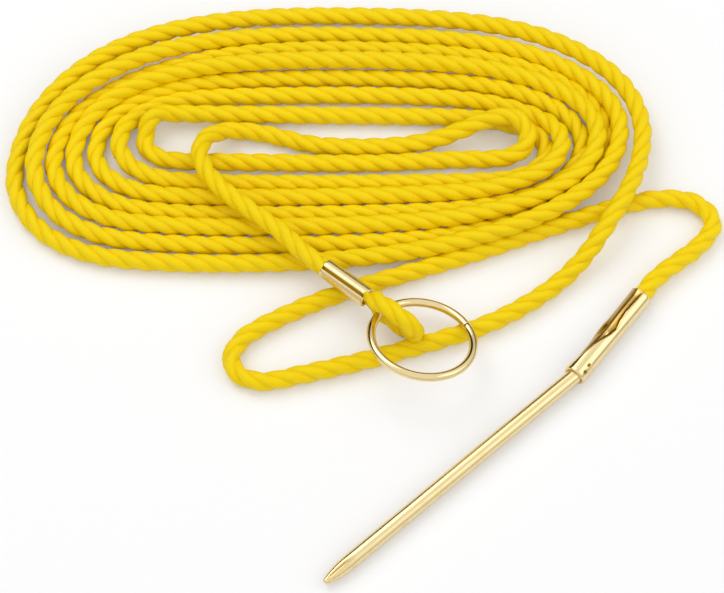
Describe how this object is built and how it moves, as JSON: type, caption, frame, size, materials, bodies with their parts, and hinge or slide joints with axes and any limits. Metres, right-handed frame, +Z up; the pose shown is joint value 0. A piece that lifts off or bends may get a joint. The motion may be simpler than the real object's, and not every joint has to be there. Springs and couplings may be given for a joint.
{
  "type": "fish stringer",
  "caption": "Coiled twisted rope with a brass threading needle crimped to one end and a brass wire ring held in a crimped eye at the other, for carrying caught fish.",
  "frame": {"origin": "middle of the rope coil, on the floor that it lies on", "axes": "+Z up from the floor, +X along the coil's long side towards the end where the needle's rope leaves it, -Y towards the needle and the ring"},
  "size_m": [0.1722, 0.154, 0.013],
  "materials": {
    "rope": "twisted polypropylene film fibre",
    "brass": "bright drawn brass"
  },
  "bodies": {
    "coil": {"rope_coil": "rope", "rope_free_loop": "rope", "rope_needle_bend": "rope", "rope_ring_lead": "rope", "rope_eye": "rope", "ring_sleeve": "brass"},
    "ring": {"ring": "brass"},
    "needle": {"rope_needle_tail": "rope", "needle_socket": "brass", "needle": "brass"}
  },
  "joints": [
    {"name": "ring_swing", "type": "hinge", "parent": "coil", "child": "ring", "pos_m": [0.0117, -0.0498, 0.0073], "axis": [-0.6839, -0.6725, 0.2829], "range_deg": [0, 110]},
    {"name": "needle_swing", "type": "hinge", "parent": "coil", "child": "needle", "pos_m": [0.07675, -0.03945, 0.0026], "axis": [0, 0, 1], "range_deg": [-8, 60], "deforming": ["rope_needle_bend"]}
  ]
}
